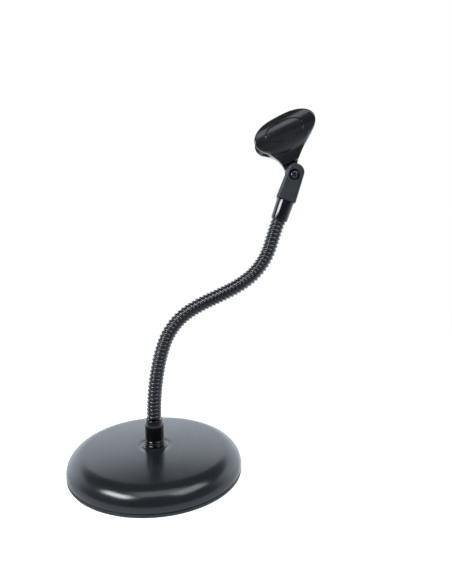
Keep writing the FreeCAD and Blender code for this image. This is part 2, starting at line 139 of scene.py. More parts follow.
# --- web of the clip, from its jaw to its tongue, millimetres -----------------------------------
# At each height: the places of its two sides along the jaw, and half its thickness.
WEB_TOP = -8.0
WEB_LEFT = [(-12, -20.4), (-15.3, -19.6), (-21, -16.2), (-26, -14.9), (-31, -14.4), (-36, -16.3),
            (-42, -16.9)]
WEB_RIGHT = [(-9, 19.5), (-13, 18.2), (-16.4, 15.6), (-21.4, 9.1), (-26, 3.9), (-30.5, -1.0),
             (-35, -0.5), (-42, -0.3)]
WEB_HALF = [(-10, 12.5), (-15, 9.0), (-19, 6.2), (-23, 5.4), (-27.4, 5.2), (-28.4, TONGUE_HALF),
            (-50, TONGUE_HALF)]

# --- shading and nets ---------------------------------------------------------------------------
SHARP_EDGE = 38  # degrees
FILLET_SHARE = 0.48  # the most that a fillet takes of a side
SETTLING_PASSES = 4  # moves of a net's points on to its surface
SLOPE_STEP, NORMAL_STEP, LEAST_SLOPE = 0.02, 0.06, 0.05

# --- material noise: features per metre, and the part of its range that is used ------------------
BLOTCHES, SMEARS = 38.0, 95.0
NOISE_LOW, NOISE_HIGH = 0.3, 0.7

# --- lights -------------------------------------------------------------------------------------
# Azimuth and elevation in degrees as in toward(); distance, width and height in metres; radiance.
SOFTBOXES = {
    "left_softbox": (-49, 42, 0.63, 0.34, 0.165, 16.5),
    "right_softbox": (64, 51, 1.0, 0.62, 0.40, 4.0),
    "front_softbox": (14, 70, 1.0, 0.75, 0.48, 1.9),
}
LIGHT_COLOUR = (0.91, 0.96, 1.0)
AIM_HEIGHT = 0.05

# --- room and table top as the object sees them: strengths, degrees and metres ------------------
BACKDROP, SIDE_WALL, FRONT_WALL, CEILING = 1.75, 0.12, 0.03, 0.09
BACKDROP_FADE = (29, 37.5)
FLOOR_BEHIND, FLOOR_NEAR, FLOOR_FRONT = 1.5, 0.95, 0.3
ROOM_TINT = (0.89, 0.97, 1.07, 1.0)
FLOOR_R, FLOOR_HOLE_R, FLOOR_DROP = 2.2, 0.02, 0.0002
FLOOR_RINGS, FLOOR_SIDES = 24, 64
WHITE = (1, 1, 1, 1)

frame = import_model()
joints = {j["name"]: j for j in frame["joints"]}
mounts = {m["name"]: m for m in frame["record"]["mounts"]}


# --- meshes -------------------------------------------------------------------------------------
def new_piece(name, vertices, faces, material, normals=None):
    """Mesh object from arrays, smooth shaded, with the given vertex normals if there are any."""
    mesh = bpy.data.meshes.new(name)
    mesh.from_pydata(np.asarray(vertices).tolist(), [], [list(map(int, f)) for f in faces])
    mesh.validate()
    mesh.shade_smooth()
    if normals is None:
        mesh.set_sharp_from_angle(angle=math.radians(SHARP_EDGE))
    else:
        mesh.normals_split_custom_set_from_vertices(np.asarray(normals).tolist())
    mesh.materials.append(material)
    obj = bpy.data.objects.new(name, mesh)
    bpy.context.scene.collection.objects.link(obj)
    return obj


def assign(piece, body, node):
    """Hang a piece on a body, and hide the CAD node that it stands for."""
    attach(piece, body)
    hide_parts(node)


def rounded(corners, steps=6):
    """Closed outline of (radius, height) points from corners that may also give a fillet."""
    outline = []
    points = [np.array(c[:2], float) for c in corners]
    for i, here in enumerate(points):
        fillet = corners[i][2] if len(corners[i]) > 2 else 0
        if not fillet:
            outline.append(tuple(here))
            continue
        back, ahead = points[i - 1] - here, points[(i + 1) % len(points)] - here
        u, v = back / np.linalg.norm(back), ahead / np.linalg.norm(ahead)
        half = math.acos(max(-1, min(1, float(u @ v)))) / 2
        shorter_side = min(np.linalg.norm(back), np.linalg.norm(ahead))
        reach = min(fillet / math.tan(half), FILLET_SHARE * shorter_side)
        centre = here + (u + v) / np.linalg.norm(u + v) * reach / math.cos(half)
        first, last = here + u * reach - centre, here + v * reach - centre
        sweep = math.pi - 2 * half
        for k in range(steps + 1):
            a, b = math.sin((1 - k / steps) * sweep), math.sin(k / steps * sweep)
            outline.append(tuple(centre + (first * a + last * b) / math.sin(sweep)))
    return outline


def lathe(name, outline, material, around, place=(0, 0, 0), axis=(0, 0, 1)):
    """Ring-shaped solid: a closed outline in millimetres turned round an axis through a place."""
    rz = np.array(outline) * MM
    angle = np.arange(around) * 2 * math.pi / around
    x = rz[:, 0, None] * np.cos(angle)
    y = rz[:, 0, None] * np.sin(angle)
    z = np.repeat(rz[:, 1, None], around, 1)
    turn = np.array(Vector((0, 0, 1)).rotation_difference(Vector(axis)).to_matrix())
    points = np.stack([x, y, z], -1).reshape(-1, 3) @ turn.T + np.array(place)
    i, j = np.meshgrid(np.arange(len(rz)), np.arange(around), indexing="ij")
    ahead, beside = (i + 1) % len(rz), (j + 1) % around
    faces = np.stack([i * around + j, i * around + beside, ahead * around + beside,
                      ahead * around + j], -1).reshape(-1, 4)
    area = sum(a[0] * b[1] - b[0] * a[1] for a, b in zip(outline, outline[1:] + outline[:1]))
    if area < 0:
        faces = faces[:, ::-1]
    return new_piece(name, points, faces, material)


# --- solids from distance fields, in millimetres ------------------------------------------------
def join_round(a, b, fillet):
    """Union of two distance fields with a fillet in the inner corner."""
    inner = np.hypot(np.maximum(fillet - a, 0), np.maximum(fillet - b, 0))
    return np.maximum(fillet, np.minimum(a, b)) - inner


def keep_round(a, b, radius):
    """Common part of two distance fields with the edge rounded."""
    outer = np.hypot(np.maximum(radius + a, 0), np.maximum(radius + b, 0))
    return np.minimum(-radius, np.maximum(a, b)) + outer


def cut_round(a, b, radius):
    """First distance field without the second, with the edge rounded."""
    return keep_round(a, -b, radius)


def ellipse_distance(x, y, long, short):
    """Nearly the distance to an ellipse with half axes long and short."""
    k = np.hypot(x / long, y / short)
    slope = np.hypot(x / long ** 2, y / short ** 2)
    return k * (k - 1) / np.maximum(slope, 1e-9)


def eased(points, reach):
    """Function through a polyline of (at, value) points whose corners are eased over +-reach."""
    samples, falloff = 7, 1.4
    at, value = zip(*sorted(points))
    shifts = np.linspace(-reach, reach, samples)
    weights = np.cos(shifts / reach * falloff)
    weights = weights / weights.sum()
    return lambda x: sum(w * np.interp(x + s, at, value) for s, w in zip(shifts, weights))


def gradient(field, points, step):
    """Slope of a distance field at points, taken over a step to each side."""
    columns = []
    for axis in range(3):
        shift = np.zeros(3)
        shift[axis] = step
        columns.append((field(points + shift) - field(points - shift)) / (2 * step))
    return np.stack(columns, -1)


def net_points(grid, values, step):
    """A point in each cell that the surface passes through, and each cell's point number or -1."""
    inside = values < 0
    cells = tuple(n - 1 for n in values.shape)
    total, hits = np.zeros(cells + (3,)), np.zeros(cells)
    for axis in range(3):
        lower, upper = [slice(None)] * 3, [slice(None)] * 3
        lower[axis], upper[axis] = slice(0, -1), slice(1, None)
        a, b = values[tuple(lower)], values[tuple(upper)]
        crossing = inside[tuple(lower)] != inside[tuple(upper)]
        share = np.where(crossing, a / np.where(crossing, a - b, 1), 0)
        point = grid[tuple(lower)].copy()
        point[..., axis] += share * step
        first, second = (other for other in range(3) if other != axis)
        for i, j in ((0, 0), (0, 1), (1, 0), (1, 1)):
            part = [slice(None)] * 3
            part[first], part[second] = slice(i, cells[first] + i), slice(j, cells[second] + j)
            here = crossing[tuple(part)]
            total += np.where(here[..., None], point[tuple(part)], 0)
            hits += here
    used = hits > 0
    number = np.full(cells, -1)
    number[used] = np.arange(used.sum())
    return total[used] / hits[used][:, None], number


def net_faces(inside, number):
    """Quads round every grid edge that the surface crosses, each facing outwards."""
    faces = []
    for axis in range(3):
        b, c = (axis + 1) % 3, (axis + 2) % 3
        lower, upper = [slice(None)] * 3, [slice(None)] * 3
        lower[axis], upper[axis] = slice(0, -1), slice(1, None)
        for other in (b, c):
            lower[other] = upper[other] = slice(1, inside.shape[other] - 1)
        place = np.argwhere(inside[tuple(lower)] != inside[tuple(upper)])
        place[:, b] += 1
        place[:, c] += 1
        outward = inside[tuple(place.T)]
        ring = []
        for db, dc in ((-1, -1), (0, -1), (0, 0), (-1, 0)):
            cell = place.copy()
            cell[:, b] += db
            cell[:, c] += dc
            ring.append(number[tuple(cell.T)])
        quads = np.stack(ring, -1)
        faces.append(np.where(outward[:, None], quads, quads[:, ::-1]))
    return np.concatenate(faces)


def settled(field, points, step):
    """Points moved on to a distance field's zero surface, and the surface's normals there."""
    for _ in range(SETTLING_PASSES):
        slope = gradient(field, points, SLOPE_STEP)
        length = np.maximum((slope ** 2).sum(-1, keepdims=True), LEAST_SLOPE)
        move = -field(points)[:, None] * slope / length
        points = points + np.clip(move, -step / 2, step / 2)
    slope = gradient(field, points, NORMAL_STEP)
    return points, slope / np.maximum(np.linalg.norm(slope, axis=1, keepdims=True), 1e-9)


def surface_net(field, low, high, step):
    """Closed quad mesh of a distance field's zero surface: (vertices, faces, normals)."""
    counts = [int(math.ceil((h - l) / step)) + 1 for l, h in zip(low, high)]
    axes = [l + step * np.arange(n) for l, n in zip(low, counts)]
    grid = np.stack(np.meshgrid(*axes, indexing="ij"), -1)
    values = field(grid.reshape(-1, 3)).reshape(counts)
    points, number = net_points(grid, values, step)
    faces = net_faces(values < 0, number)
    vertices, normals = settled(field, points, step)
    return vertices, faces, normals


def field_piece(name, field, low, high, step, material, place, axes):
    """Piece from a distance field drawn in a local frame: axes are that frame's directions."""
    vertices, faces, normals = surface_net(field, low, high, step)
    turn = np.array(axes)
    return new_piece(name, vertices @ turn * MM + np.array(place), faces, material, normals @ turn)


# --- materials ----------------------------------------------------------------------------------
class Graph:
    """Small helper that adds nodes to a node tree and wires them up."""

    def __init__(self, tree):
        self.tree = tree
        tree.nodes.clear()

    def add(self, kind, inputs=None, **settings):
        node = self.tree.nodes.new("ShaderNode" + kind)
        for key, value in settings.items():
            setattr(node, key, value)
        for key, value in (inputs or {}).items():
            if isinstance(value, bpy.types.NodeSocket):
                self.tree.links.new(value, node.inputs[key])
            else:
                node.inputs[key].default_value = value
        return node

    def math(self, operation, a, b=0.0):
        return self.add("Math", {0: a, 1: b}, operation=operation).outputs[0]

    def spread(self, value, low, high, to_low, to_high):
        """Value carried from one range to another, eased and held at both ends."""
        return self.add("MapRange", {"Value": value, "From Min": low, "From Max": high,
                                     "To Min": to_low, "To Max": to_high},
                        interpolation_type="SMOOTHSTEP").outputs[0]

    def away_from_camera(self, direction):
        """How far a direction points away from the camera: 1 straight away, -1 straight back."""
        return self.add("VectorMath", {0: direction, 1: -toward(0, 0)},
                        operation="DOT_PRODUCT").outputs["Value"]

    def noise(self, scale, detail=2.0):
        """Noise in the object's own space: scale is in features per metre."""
        place = self.add("TexCoord").outputs["Object"]
        return self.add("TexNoise", {"Vector": place, "Scale": scale, "Detail": detail}).outputs[0]

    def mix(self, factor, a, b):
        """Colour a carried to colour b by a factor."""
        return self.add("Mix", {0: factor, 6: a, 7: b}, data_type="RGBA").outputs[2]


def tint(colour, factor):
    return tuple(c * factor for c in colour) + (1.0,)


def finish_material(name, colour, rough, grain_scale, grain_height, blotch=0.25,
                    rough_spread=0.05, specular=0.5, metallic=0.0):
    """Moulded, painted or plated surface: blotched colour, uneven gloss and a fine grain.

    The grain's scale is in features per metre and its height in millimetres.
    """
    material = bpy.data.materials.new(name)
    material.use_nodes = True
    g = Graph(material.node_tree)
    blotches = g.noise(BLOTCHES, 3.0)
    grain = g.noise(grain_scale)
    smears = g.noise(SMEARS, 4.0)
    share = g.spread(blotches, NOISE_LOW, NOISE_HIGH, 0.0, 1.0)
    base = g.mix(share, tint(colour, 1 - blotch), tint(colour, 1 + blotch))
    smeared = g.spread(smears, NOISE_LOW, NOISE_HIGH, rough - rough_spread, rough + rough_spread)
    roughness = g.math("ADD", smeared, g.math("MULTIPLY", grain, rough_spread))
    bump = g.add("Bump", {"Height": grain, "Distance": grain_height * MM, "Strength": 1.0})
    shader = g.add("BsdfPrincipled", {
        "Base Color": base, "Roughness": roughness, "Metallic": metallic,
        "Specular IOR Level": specular, "Normal": bump.outputs[0]})
    g.add("OutputMaterial", {"Surface": shader.outputs[0]})
    return material


FINISHES = {
    "powder_coat": dict(colour=(0.011, 0.0125, 0.0145), rough=0.21, grain_scale=900,
                        grain_height=0.0012, blotch=0.08, rough_spread=0.015, specular=0.62),
    "cast_iron": dict(colour=(0.09, 0.085, 0.08), rough=0.7, grain_scale=900, grain_height=0.25,
                      metallic=0.6),
    "black_plate": dict(colour=(0.025, 0.025, 0.026), rough=0.5, grain_scale=1500,
                        grain_height=0.03),
    "zinc_steel": dict(colour=(0.5, 0.51, 0.53), rough=0.32, grain_scale=1800, grain_height=0.02,
                       metallic=1.0),
    "black_rubber": dict(colour=(0.022, 0.023, 0.025), rough=0.5, grain_scale=2200,
                         grain_height=0.04),
    "gloss_black_steel": dict(colour=(0.004, 0.0042, 0.0048), rough=0.11, grain_scale=500,
                              grain_height=0.0004, rough_spread=0.02, specular=0.6),
    "gooseneck_steel": dict(colour=(0.005, 0.0052, 0.0058), rough=0.13, grain_scale=500,
                            grain_height=0.0004, rough_spread=0.02, specular=1.0),
    "charcoal_plastic": dict(colour=(0.027, 0.030, 0.036), rough=0.46, grain_scale=900,
                             grain_height=0.006, blotch=0.12),
    "black_oxide_screw": dict(colour=(0.15, 0.155, 0.165), rough=0.2, grain_scale=1500,
                              grain_height=0.001, rough_spread=0.03, metallic=0.95),
    "fibre_washer": dict(colour=(0.06, 0.05, 0.045), rough=0.8, grain_scale=2600,
                         grain_height=0.06),
    "clip_plastic": dict(colour=(0.006, 0.0068, 0.008), rough=0.25, grain_scale=700,
                         grain_height=0.001, rough_spread=0.02, specular=0.75),
}
MATERIALS = {name: finish_material(name, **finish) for name, finish in FINISHES.items()}


# --- base ---------------------------------------------------------------------------------------
def dome(radius, inset):
    """Half outline of the cover, or of its inside at an inset: from the skirt to the pad's foot."""
    a, b = SHOULDER_WIDTH - inset, SHOULDER_HEIGHT - inset
    centre = radius - SHOULDER_WIDTH
    end = math.radians(SHOULDER_END)
    shoulder = [(centre + a * math.cos(t), SHOULDER_START + b * math.sin(t))
                for t in np.linspace(0, end, SHOULDER_STEPS)]
    edge_r, edge_z = shoulder[-1]
    slope = math.atan(b / a / math.tan(end))
    crown_r = edge_r / math.sin(slope)
    crown_z = edge_z - crown_r * math.cos(slope)
    inner = PAD_R + PAD_FOOT
    crown = [(crown_r * math.sin(t), crown_z + crown_r * math.cos(t))
             for t in np.linspace(slope, math.asin(inner / crown_r), CROWN_STEPS)]
    return shoulder + crown[1:]


def base_cover():
    low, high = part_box("base_cover")
    radius, skirt, top = high.x / MM, low.z / MM, high.z / MM
    outer, inner = dome(radius, 0), dome(radius, SHEET)
    pad = rounded([(PAD_R + 3.0, outer[-1][1] - 0.05), (PAD_R + 0.7, top - PAD_RISE + 0.35, 0.9),
                   (PAD_R - 0.3, top, 0.7), (BOLT_HOLE_R, top, 0.3),
                   (BOLT_HOLE_R, top - SHEET, 0.3), (PAD_R, top - SHEET)])
    rim = rounded([(radius - SHEET - 0.01, skirt + 4.0), (radius - SHEET, skirt, 0.5),
                   (radius, skirt, 0.5), (radius, skirt + 4.0)])[1:-1]
    outline = rim + outer + pad[1:-1] + inner[::-1]
    piece = lathe("base_cover_shell", outline, MATERIALS["powder_coat"], BASE_SIDES)
    assign(piece, "base", "base_cover")


def rubber_foot():
    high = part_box("rubber_foot_ring")[1]
    radius, lip_top = high.x / MM, high.z / MM
    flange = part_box("base_cover")[0].z / MM - FOOT_GAP
    lip, under = radius - SHEET - 0.1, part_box("bottom_plate")[0].z / MM
    outline = rounded([(FOOT_OPENING_R, 0.0, 0.5), (radius, 0.0, 0.9), (radius, flange, 0.6),
                       (lip, flange, 0.1), (lip, lip_top, 0.3), (FOOT_LIP_R, lip_top, 0.3),
                       (FOOT_LIP_R, under, 0.1), (FOOT_OPENING_R, under, 0.4)])
    piece = lathe("rubber_foot", outline, MATERIALS["black_rubber"], BASE_SIDES)
    assign(piece, "base", "rubber_foot_ring")


# --- lower sleeve and ring ----------------------------------------------------------------------
def lock_ring():
    low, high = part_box("neck_lock_ring")
    radius, bottom, top = high.x / MM, low.z / MM, high.z / MM
    groove = bottom + RING_GROOVE_AT
    outline = rounded([(RING_BORE_R, bottom, 0.3), (radius, bottom, 0.7),
                       (radius, groove - RING_GROOVE_HALF, 0.3),
                       (radius - RING_GROOVE_DEPTH, groove, 0.2),
                       (radius, groove + RING_GROOVE_HALF, 0.3),
                       (radius, top, 0.8), (RING_BORE_R, top, 0.3)])
    piece = lathe("lock_ring", outline, MATERIALS["gloss_black_steel"], SLEEVE_SIDES)
    assign(piece, "lock_ring", "neck_lock_ring")


def lower_sleeve():
    low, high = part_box("lower_ferrule")
    foot, top, radius = low.z / MM, high.z / MM, high.x / MM
    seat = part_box("neck_lock_ring")[1].z / MM + RING_GAP
    bead_top, socket_floor = seat + BEAD_HEIGHT, top - CRIMP - CRIMP_GAP
    taper_foot, drop = top - TAPER_LIP - TAPER_HEIGHT, LOWER_SLEEVE_R - LOWER_SLEEVE_TOP_R
    taper = [(LOWER_SLEEVE_R - drop * t ** 2, taper_foot + TAPER_HEIGHT * t)
             for t in np.linspace(0, 1, TAPER_STEPS)]
    outside = [(SPIGOT_R, foot, 0.3), (SPIGOT_R, seat, 0.1), (radius, seat, 0.5),
               (radius, bead_top, 0.5), (LOWER_SLEEVE_R - 0.2, bead_top + 0.5, 0.3),
               (LOWER_SLEEVE_R, bead_top + 1.4, 0.6)] + taper
    mouth = [(LOWER_SLEEVE_TOP_R - 0.3, top, 0.3), (NECK_R + CRIMP_FIT, top, 0.1)]
    socket = [(NECK_R + CRIMP_FIT, socket_floor, 0.1), (ANCHOR_BOLT_R, socket_floor, 0.1)]
    outline = rounded([(ANCHOR_BOLT_R, foot, 0.3)] + outside + mouth + socket)
    piece = lathe("lower_sleeve", outline, MATERIALS["gloss_black_steel"], SLEEVE_SIDES)
    assign(piece, "neck_root", "lower_ferrule")


# --- gooseneck ----------------------------------------------------------------------------------
def neck_joints():
    """The neck's joints from below upwards: each joint's child is the next joint's parent."""
    chain, body = [], "neck_root"
    while body != "neck_top":
        joint = next(j for j in frame["joints"]
                     if j["parent"] == body and j["child"].startswith("neck"))
        chain.append(joint)
        body = joint["child"]
    return chain


def bend_arc(before, corner, after, count):
    """Points of the arc that runs smoothly from the line before a corner to the line after it."""
    reach = min((corner - before).length, (after - corner).length)
    way_in, way_out = (corner - before).normalized(), (after - corner).normalized()
    turn = way_in.angle(way_out)
    start, end = corner - way_in * reach, corner + way_out * reach
    if turn < math.radians(0.05):
        return [start.lerp(end, k / count) for k in range(count + 1)]
    radius = reach / math.tan(turn / 2)
    inward = (way_out - way_in).normalized()
    centre = corner + inward * (radius / math.cos(turn / 2))
    first, last = start - centre, end - centre
    return [centre + (first * math.sin((1 - k / count) * turn) + last * math.sin(k / count * turn))
            / math.sin(turn) for k in range(count + 1)]


def neck_centreline(chain, start, way_up):
    """Evenly spaced rows along the neck: (places, directions), in metres."""
    centres = [Vector(j["pos_m"]) for j in chain]
    clip_axis = Vector(joints["clip_turn"]["axis"]).normalized()
    end = centres[-1] + clip_axis * (centres[0] - start).length
    points = [start - way_up * (CRIMP * MM), start]
    for i in range(0, len(centres), 2):
        before = centres[i - 1] if i else start
        points += bend_arc(before, centres[i], centres[i + 1], ARC_STEPS)
    points += [end, end + clip_axis * (CRIMP * MM)]
    track = np.array(points)
    gaps = np.linalg.norm(np.diff(track, axis=0), axis=1)
    track = track[np.concatenate([[True], gaps > 1e-6])]
    along = np.concatenate([[0], np.cumsum(np.linalg.norm(np.diff(track, axis=0), axis=1))])
    count = int(round(along[-1] / (ROW_STEP * MM)))
    at = np.linspace(0, along[-1], count + 1)
    places = np.stack([np.interp(at, along, track[:, k]) for k in range(3)], -1)
    kernel = np.ones(SMOOTHED_ROWS) / SMOOTHED_ROWS
    margin = SMOOTHED_ROWS // 2
    padded = np.pad(places, ((margin, margin), (0, 0)), mode="reflect", reflect_type="odd")
    places = np.stack([np.convolve(padded[:, k], kernel, "valid") for k in range(3)], -1)
    directions = np.gradient(places, axis=0)
    return places, directions / np.linalg.norm(directions, axis=1, keepdims=True)


def wire_radius(phase):
    """Outer radius of the wound wires in millimetres, phase 0 to 1 over one pitch."""
    profile = np.full(phase.shape, NECK_R - GROOVE_FLOOR)
    wires = ((ROUND_WIRE_R, ROUND_WIRE_AT, 0.0), (FILLER_WIRE_R, FILLER_WIRE_AT, FILLER_DROP))
    for radius, at, drop in wires:
        off = ((phase - at + 0.5) % 1.0 - 0.5) * WIRE_PITCH
        crest = NECK_R - drop - radius + np.sqrt(np.maximum(radius ** 2 - off ** 2, 0))
        profile = np.where(np.abs(off) < radius, np.maximum(profile, crest), profile)
    return profile


def neck_surface(places, directions):
    """Outer points, normals and outward directions: rows along the neck, columns round it."""
    side = np.array([0.0, 1.0, 0.0])
    forward = np.cross(side, directions)
    angle = np.arange(AROUND) * 2 * math.pi / AROUND
    row = np.arange(len(places))[:, None]
    phase = (row * ROW_STEP / WIRE_PITCH - angle[None, :] / (2 * math.pi)) % 1.0
    above_sleeve = row * ROW_STEP - CRIMP
    waist = WAIST_DEPTH * np.clip(1 - ((above_sleeve - WAIST_AT) / WAIST_HALF) ** 2, 0, 1)
    radius = (wire_radius(phase) - waist) * MM
    outward = (forward[:, None, :] * np.cos(angle)[None, :, None]
               + side[None, None, :] * np.sin(angle)[None, :, None])
    points = places[:, None, :] + outward * radius[..., None]
    along = np.gradient(points, axis=0)
    around = (np.roll(points, -1, axis=1) - np.roll(points, 1, axis=1)) / 2
    normals = np.cross(around, along)
    normals /= np.linalg.norm(normals, axis=-1, keepdims=True)
    return points, normals, outward


def neck_link(name, places, points, normals, outward, directions, rows):
    """One closed stretch of neck between two rows: ridged outside, plain bore, flat ends."""
    first, last = rows
    count = last - first + 1
    outer = points[first:last + 1].reshape(-1, 3)
    rings = [places[r] + outward[r] * NECK_BORE_R * MM for r in (first, last)]
    vertices = np.concatenate([outer] + rings)
    j = np.arange(AROUND)
    beside = (j + 1) % AROUND
    faces = [np.stack([r * AROUND + j, r * AROUND + beside, (r + 1) * AROUND + beside,
                       (r + 1) * AROUND + j], -1) for r in range(count - 1)]
    low_ring, high_ring = count * AROUND, (count + 1) * AROUND
    top = (count - 1) * AROUND
    faces.append(np.stack([low_ring + j, low_ring + beside, beside, j], -1))
    faces.append(np.stack([top + j, top + beside, high_ring + beside, high_ring + j], -1))
    faces.append(np.stack([high_ring + j, high_ring + beside, low_ring + beside, low_ring + j], -1))
    faces = np.concatenate(faces)
    piece = new_piece(name, vertices, faces, MATERIALS["gooseneck_steel"])
    outside = normals[first:last + 1].reshape(-1, 3)
    skin = (count - 1) * AROUND
    corner_normals = np.zeros((len(faces), 4, 3))
    corner_normals[:skin] = outside[faces[:skin]]
    corner_normals[skin:skin + AROUND] = -directions[first]
    corner_normals[skin + AROUND:skin + 2 * AROUND] = directions[last]
    inward = np.stack([-outward[last], -np.roll(outward[last], -1, 0),
                       -np.roll(outward[first], -1, 0), -outward[first]], 1)
    corner_normals[skin + 2 * AROUND:] = inward
    piece.data.normals_split_custom_set(corner_normals.reshape(-1, 3).tolist())
    return piece


def half_link(chain):
    """Half the distance between neighbouring joints of the neck, in metres."""
    return (Vector(chain[1]["pos_m"]) - Vector(chain[0]["pos_m"])).length / 2


def gooseneck():
    chain = neck_joints()
    start = Vector((0, 0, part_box("lower_ferrule")[1].z))
    places, directions = neck_centreline(chain, start, Vector((0, 0, 1)))
    points, normals, outward = neck_surface(places, directions)
    centres = [np.array(j["pos_m"]) for j in chain]
    cuts = [0]
    for low, high in zip(centres, centres[1:]):
        middle = (low + high) / 2
        cuts.append(int(np.argmin(np.linalg.norm(places - middle, axis=1))))
    cuts.append(len(places) - 1)
    nodes = ["gooseneck_segment_%02d" % (i + 1) for i in range(len(chain) + 1)]
    for i, joint in enumerate(chain):
        rows = (cuts[i], cuts[i + 1])
        piece = neck_link("gooseneck_link_%02d" % (i + 1), places, points, normals, outward,
                          directions, rows)
        if i + 1 in BENT_FROM_ABOVE:
            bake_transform(piece)
        else:
            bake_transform(piece)
        stood_for = nodes[i:i + 2] if i == len(chain) - 1 else nodes[i:i + 1]
        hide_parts(*stood_for)


# --- upper sleeve -------------------------------------------------------------------------------
def upper_sleeve():
    chain = neck_joints()
    axis = Vector(joints["clip_turn"]["axis"]).normalized()
    place = Vector(chain[-1]["pos_m"]) + axis * half_link(chain)
    bore, socket_floor = NECK_R + CRIMP_FIT, CRIMP + CRIMP_GAP
    outline = rounded([(bore, 0.0, 0.1), (UPPER_SLEEVE_LOW_R, 0.0, 0.6),
                       (UPPER_SLEEVE_HIGH_R, UPPER_SLEEVE_END, 0.4),
                       (THREAD_R - 0.5, UPPER_SLEEVE_END + 0.1, 0.1),
                       (THREAD_R, UPPER_SLEEVE_END + 0.6, 0.1), (THREAD_R, THREAD_END - 0.8, 0.2),
                       (THREAD_R - 0.8, THREAD_END, 0.2), (THREAD_HOLLOW_R, THREAD_END, 0.3),
                       (THREAD_HOLLOW_R, socket_floor), (bore, socket_floor)])
    piece = lathe("upper_sleeve", outline, MATERIALS["gloss_black_steel"], SLEEVE_SIDES,
                  place, axis)
    assign(piece, "neck_top", "upper_ferrule")


# --- swivel and screw ---------------------------------------------------------------------------
def swivel_axes():
    """Rows are the swivel's local x, y (along the pin) and z (up the sleeve's axis)."""
    z = Vector(joints["clip_turn"]["axis"]).normalized()
    y = Vector(joints["clip_tilt"]["axis"]).normalized()
    return [y.cross(z), y, z]


def hexagon_distance(x, z, half):
    """Distance field of a hexagon from half its width across the flats."""
    lean = math.cos(math.radians(30))
    sloping = np.maximum(np.abs(x * lean + z / 2), np.abs(x * lean - z / 2))
    return np.maximum(np.abs(z), sloping) - half


def swivel_field(p):
    """Fork on a rounded column, with the clip's slot, the thread's bore and the screw's seats."""
    x, y, z = p.T
    half = np.interp(z, (FORK_BOTTOM, FORK_TOP_Z), (FORK_WIDE, FORK_TOP_R))
    side = np.where(z > FORK_TOP_Z, np.hypot(x, z - FORK_TOP_Z) - FORK_TOP_R, np.abs(x) - half)
    across, deep = np.abs(x) - half + FORK_CORNER, np.abs(y) - FORK_HALF + FORK_CORNER
    column = (np.hypot(np.maximum(across, 0), np.maximum(deep, 0))
              + np.minimum(np.maximum(across, deep), 0) - FORK_CORNER)
    body = keep_round(keep_round(side, np.abs(y) - FORK_HALF, 1.1), column, 0.6)
    body = keep_round(body, FORK_BOTTOM - z, 1.5)
    slot = np.maximum(np.abs(y) - SLOT_HALF, np.hypot(x, z) - SLOT_R)
    bore = np.maximum(np.hypot(x, y) - BORE_R, z - BORE_TOP)
    recess = np.maximum(np.hypot(x, z) - RECESS_R, y + FORK_HALF - RECESS_DEPTH)
    pocket = np.maximum(hexagon_distance(x, z, POCKET_HALF), FORK_HALF - POCKET_DEPTH - y)
    for tool, edge in ((slot, 0.5), (bore, 0.6), (recess, 0.35), (pocket, 0.3)):
        body = cut_round(body, tool, edge)
    return cut_round(body, np.hypot(x, z) - PIN_HOLE_R, 0.15)


def swivel():
    pivot = joints["clip_tilt"]["pos_m"]
    reach = FORK_WIDE + 1
    piece = field_piece("swivel_body", swivel_field, (-reach, -reach, FORK_BOTTOM - 1),
                        (reach, reach, FORK_TOP_Z + FORK_TOP_R + 1), SWIVEL_CELL,
                        MATERIALS["charcoal_plastic"], pivot, swivel_axes())
    assign(piece, "swivel", "clip_swivel")


def screw_field(p):
    """Socket-head screw from its seat in the recess to its end in the nut's pocket."""
    x, y, z = p.T
    r = np.hypot(x, z)
    under_head, end = RECESS_DEPTH - FORK_HALF, FORK_HALF - POCKET_DEPTH + SCREW_IN_POCKET
    half_head, half_shank = SCREW_HEAD_HEIGHT / 2, (end - under_head) / 2
    head = keep_round(r - SCREW_HEAD_R, np.abs(y - under_head + half_head) - half_head, 1.0)
    along_shank = np.abs(y - (under_head + end) / 2) - half_shank
    shank = keep_round(r - SCREW_SHANK_R, along_shank, 0.3)
    socket = np.maximum(hexagon_distance(x, z, SOCKET_HALF), y - under_head + SOCKET_FLOOR)
    return cut_round(np.minimum(head, shank), socket, 0.25)


def pivot_screw():
    pivot = joints["clip_tilt"]["pos_m"]
    reach, end = SCREW_HEAD_R + 0.8, FORK_HALF + 0.5
    piece = field_piece("pivot_screw_body", screw_field, (-reach, -end, -reach),
                        (reach, end, reach), SCREW_CELL, MATERIALS["black_oxide_screw"],
                        pivot, swivel_axes())
    assign(piece, "pivot_screw", "pivot_screw")


# --- microphone clip ----------------------------------------------------------------------------
def clip_frame():
    """Rows are the clip's local x (along the jaw), y (along the pin) and z (towards the jaw)."""
    x = Vector(mounts["microphone_clamp"]["axis"]).normalized()
    y = Vector(joints["clip_tilt"]["axis"]).normalized()
    return [x, y, x.cross(y)]


def pivot_in_jaw():
    """The pivot's place from the middle of the jaw, along and below it, in millimetres."""
    offset = Vector(joints["clip_tilt"]["pos_m"]) - Vector(mounts["microphone_clamp"]["pos_m"])
    x, _, z = clip_frame()
    return offset.dot(x) / MM, offset.dot(z) / MM


